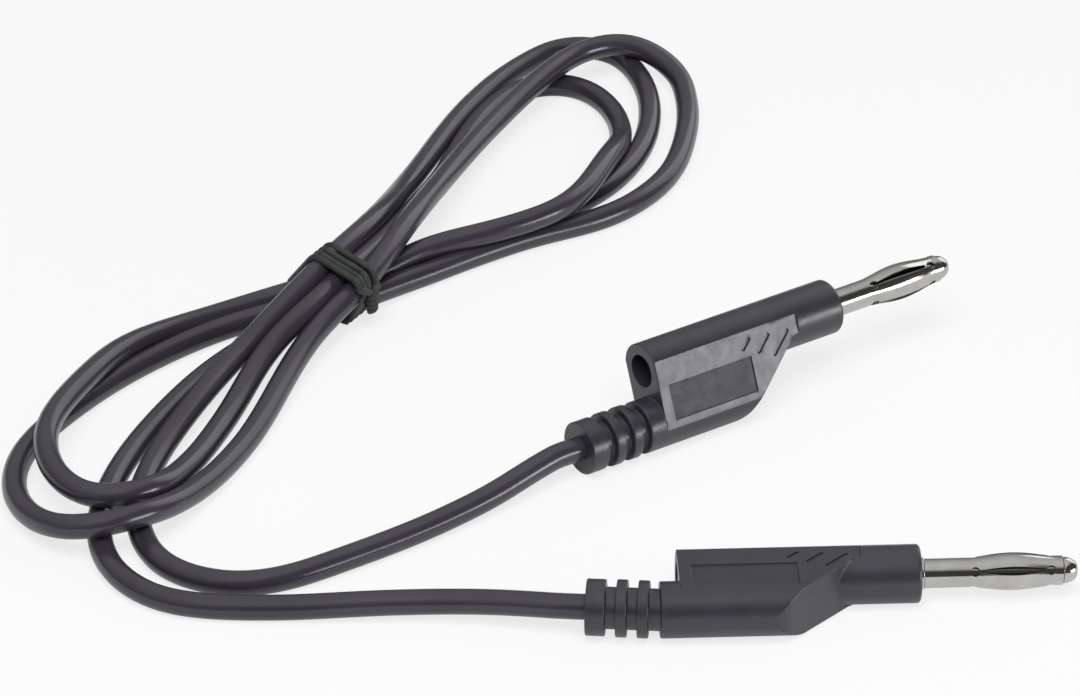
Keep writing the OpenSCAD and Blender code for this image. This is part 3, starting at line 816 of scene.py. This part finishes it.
def makeCageTree():
    # one leaf with its share of the rings, bowed and narrowed along the slits, then repeated
    tree = bpy.data.node_groups.new("leafCage", "GeometryNodeTree")
    face = tree.interface
    face.new_socket("Geometry", in_out="INPUT", socket_type="NodeSocketGeometry")
    sizes = ("Rear", "Front", "Leaf Rear", "Leaf Front", "Ring Radius", "Bow", "Bow Power",
             "Slit Half", "Hole Radius", "Turn")
    for name in sizes:
        face.new_socket(name, in_out="INPUT", socket_type="NodeSocketFloat")
    for name in ("Leaves", "Steps Along", "Steps Round"):
        face.new_socket(name, in_out="INPUT", socket_type="NodeSocketInt")
    face.new_socket("Plate", in_out="INPUT", socket_type="NodeSocketMaterial")
    face.new_socket("Geometry", in_out="OUTPUT", socket_type="NodeSocketGeometry")
    given = addNode(tree, "NodeGroupInput").outputs

    grid = addNode(tree, "GeometryNodeMeshGrid",
                   {"Vertices X": given["Steps Along"], "Vertices Y": given["Steps Round"]},
                   {"Size X": 1.0, "Size Y": 1.0})
    position = addNode(tree, "GeometryNodeInputPosition").outputs["Position"]
    at = addNode(tree, "ShaderNodeSeparateXYZ", {"Vector": position}).outputs
    known = {name: given[name] for name in (*sizes, "Leaves")}
    known.update(gridX=at["X"], gridY=at["Y"],
                 index=addNode(tree, "GeometryNodeInputIndex").outputs["Index"])
    for name, operation, *parts in cageFormulas:
        sources = {i: known[part] for i, part in enumerate(parts) if isinstance(part, str)}
        numbers = {i: part for i, part in enumerate(parts) if not isinstance(part, str)}
        known[name] = addNode(tree, "ShaderNodeMath", sources, numbers,
                              operation=operation).outputs[0]
    place = addNode(tree, "ShaderNodeCombineXYZ",
                    {"X": known["x"], "Y": known["y"], "Z": known["z"]})
    leaf = addNode(tree, "GeometryNodeSetPosition",
                   {"Geometry": grid.outputs["Mesh"], "Position": place.outputs["Vector"]})
    spots = addNode(tree, "GeometryNodePoints", {"Count": given["Leaves"]})
    turned = addNode(tree, "ShaderNodeCombineXYZ", {"X": known["turn"]})
    ring = addNode(tree, "GeometryNodeInstanceOnPoints",
                   {"Points": spots.outputs["Points"], "Instance": leaf.outputs["Geometry"],
                    "Rotation": turned.outputs["Vector"]})
    whole = addNode(tree, "GeometryNodeRealizeInstances", {"Geometry": ring.outputs["Instances"]})
    joined = addNode(tree, "GeometryNodeMergeByDistance", {"Geometry": whole.outputs["Geometry"]},
                     {"Distance": cage["merge"] * mm})
    smooth = addNode(tree, "GeometryNodeSetShadeSmooth", {"Geometry": joined.outputs["Geometry"]})
    plate = addNode(tree, "GeometryNodeSetMaterial",
                    {"Geometry": smooth.outputs["Geometry"], "Material": given["Plate"]})
    addNode(tree, "NodeGroupOutput", {"Geometry": plate.outputs["Geometry"]})
    return tree


cageTree = makeCageTree()


def makeCage(side, lie):
    seed = link(bpy.data.objects.new("cage_seed", bpy.data.meshes.new("cage_seed")))
    sheet = runTree(seed, cageTree,
                    {"Rear": cage["rear"] * mm, "Front": cage["front"] * mm,
                     "Leaf Rear": cage["leafRear"] * mm, "Leaf Front": cage["leafFront"] * mm,
                     "Ring Radius": cage["ring"] / 2 * mm,
                     "Bow": (cage["widest"] - cage["ring"]) / 2 * mm,
                     "Bow Power": cage["bowPower"], "Turn": math.radians(cage["turn"]),
                     "Slit Half": cage["slit"] / 2 * mm, "Hole Radius": cage["hole"] / 2 * mm,
                     "Leaves": cage["leaves"],
                     "Steps Along": cage["alongSteps"], "Steps Round": cage["roundSteps"],
                     "Plate": nickel}, side + "_leaf_sheet")
    shape = bmesh.new()
    shape.from_mesh(sheet.data)
    bmesh.ops.recalc_face_normals(shape, faces=shape.faces)
    # the sheet is an open tube, so it is told by one face which way is out
    shape.faces.ensure_lookup_table()
    first = shape.faces[0]
    middle = first.calc_center_median()
    if first.normal.dot(Vector((0, middle.y, middle.z))) < 0:
        bmesh.ops.reverse_faces(shape, faces=shape.faces)
    shape.to_mesh(sheet.data)
    shape.free()
    solid = sheet.modifiers.new("wall", "SOLIDIFY")
    solid.thickness, solid.offset = cage["sheet"] * mm, -1
    obj = baked(sheet, side + "_leaves")
    obj.data.transform(lie)
    obj.data.set_sharp_from_angle(angle=math.radians(metal["sharpFrom"]))
    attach(obj, side + "_cage")
    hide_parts(side + "_leaf_cage")


# Where each plug lies: its nose face, the turn of its pin and the roll that lays its lobe over.
plugPlaces = {
    "near": {"nose": (11.4, -28.4, 3.65), "turn": 0, "roll": -90, "lean": 7},
    "far": {"nose": (4.9, 27.6, 9.9476), "turn": 32, "roll": -22, "lean": 0},
}


def dressPlug(side):
    spot = plugPlaces[side]
    lie = (Matrix.Translation(Vector(spot["nose"]) * mm)
           @ Matrix.Rotation(math.radians(spot["turn"]), 4, "Z")
           @ Matrix.Rotation(math.radians(spot["roll"]), 4, "X"))
    makeMoulding(side, lie, spot["lean"])
    makePinAndSocket(side, lie)
    makeCage(side, lie)
    for part, material in (("crimp_lug", brass), ("bare_wire", copper), ("cord_end", cordPvc)):
        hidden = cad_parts[side + "_" + part]
        hidden.data.materials.clear()
        hidden.data.materials.append(material)


for side in plugPlaces:
    dressPlug(side)
    print(side, "plug is dressed")


# A white table, soft lamps and a pale surround.
studio = {
    "floorSize": 6000,
    "floorColour": "#d6d6d8",
    "floorGlow": 0.76, "glowReflected": 0.3,  # share of pure white, seen and in reflections
    "surround": 0.22,                         # light of the room on the object
    # brightness of the room in reflections: where it is dim, at the back and straight above
    "roomDim": 0.07, "roomBack": 0.08, "roomTop": 0.85,
    "paleSide": (-0.6, 0.3, 0.74),            # direction of its pale part
    "paleFrom": 0.15, "paleTo": 0.45,         # how far a direction shares that one
    "aim": (-40, 20, 0),                      # where the lamps point
}
lamps = {
    # name: place in mm, size in mm, watts
    "low right": ((800, -400, 115), (560, 210), 3.6),
    "above": ((-60, -460, 800), (700, 700), 11.0),
    "back right": ((600, 700, 430), (700, 700), 2.0),
}


def addFloor():
    size = studio["floorSize"] / 2 * mm
    mesh = bpy.data.meshes.new("floor")
    mesh.from_pydata([(-size, -size, 0), (size, -size, 0), (size, size, 0), (-size, size, 0)],
                     [], [(0, 1, 2, 3)])
    material, tree = newMaterial("white_table")
    paint = addNode(tree, "ShaderNodeBsdfDiffuse",
                    values={"Color": hexToLinear(studio["floorColour"])})
    glow = addNode(tree, "ShaderNodeEmission", values={"Color": (1, 1, 1, 1), "Strength": 1.0})
    path = addNode(tree, "ShaderNodeLightPath").outputs
    mirrored = addNode(tree, "ShaderNodeMath",
                       {0: path["Is Glossy Ray"], 1: path["Is Transmission Ray"]},
                       operation="MAXIMUM")
    reflected = addNode(tree, "ShaderNodeMath", {0: mirrored.outputs[0]},
                        {1: studio["glowReflected"]}, operation="MULTIPLY")
    direct = addNode(tree, "ShaderNodeMath", {0: path["Is Camera Ray"]}, {1: studio["floorGlow"]},
                     operation="MULTIPLY")
    share = addNode(tree, "ShaderNodeMath", {0: direct.outputs[0], 1: reflected.outputs[0]},
                    operation="MAXIMUM")
    both = addNode(tree, "ShaderNodeMixShader",
                   {0: share.outputs[0], 1: paint.outputs["BSDF"], 2: glow.outputs["Emission"]})
    addNode(tree, "ShaderNodeOutputMaterial", {"Surface": both.outputs["Shader"]})
    mesh.materials.append(material)
    link(bpy.data.objects.new("floor", mesh))


def addLamp(name, place, size, watts):
    data = bpy.data.lights.new(name, "AREA")
    data.shape, data.energy = "RECTANGLE", watts
    data.size, data.size_y = size[0] * mm, size[1] * mm
    obj = link(bpy.data.objects.new(name, data))
    # in reflections the room's own brightness stands for the lamp above
    obj.visible_glossy = name != "above"
    obj.location = Vector(place) * mm
    toLead = Vector(studio["aim"]) - Vector(place)
    obj.rotation_euler = toLead.to_track_quat("-Z", "Y").to_euler()


def addSurround():
    world = bpy.data.worlds.new("surround")
    bpy.context.scene.world = world
    world.use_nodes = True
    tree = world.node_tree
    tree.nodes.clear()
    path = addNode(tree, "ShaderNodeLightPath").outputs
    # reflections show a room that is pale above and at the back left, and dim elsewhere
    way = addNode(tree, "ShaderNodeTexCoord").outputs["Generated"]
    height = addNode(tree, "ShaderNodeSeparateXYZ", {"Vector": way}).outputs["Z"]
    facing = addNode(tree, "ShaderNodeVectorMath", {0: way}, {1: studio["paleSide"]},
                     operation="DOT_PRODUCT").outputs["Value"]
    ceiling = addNode(tree, "ShaderNodeMapRange", {"Value": height},
                      {"From Min": 0.0, "From Max": 1.0, "To Min": studio["roomBack"],
                       "To Max": studio["roomTop"]}).outputs["Result"]
    room = addNode(tree, "ShaderNodeMapRange", {"Value": facing, "To Max": ceiling},
                   {"From Min": studio["paleFrom"], "From Max": studio["paleTo"],
                    "To Min": studio["roomDim"]},
                   interpolation_type="SMOOTHSTEP").outputs["Result"]
    mirrored = addNode(tree, "ShaderNodeMath",
                       {0: path["Is Glossy Ray"], 1: path["Is Transmission Ray"]},
                       operation="MAXIMUM")
    indirect = addNode(tree, "ShaderNodeMix", {"Factor": mirrored.outputs[0], "B": room},
                       {"A": studio["surround"]})
    strength = addNode(tree, "ShaderNodeMix",
                       {"Factor": path["Is Camera Ray"], "A": indirect.outputs[0]}, {"B": 1.0})
    sky = addNode(tree, "ShaderNodeBackground", {"Strength": strength.outputs[0]},
                  {"Color": (1, 1, 1, 1)})
    addNode(tree, "ShaderNodeOutputWorld", {"Surface": sky.outputs["Background"]})


addFloor()
for lampName, (place, size, watts) in lamps.items():
    addLamp(lampName, place, size, watts)
addSurround()
bpy.context.scene.view_settings.view_transform = "Standard"
print("studio is lit")
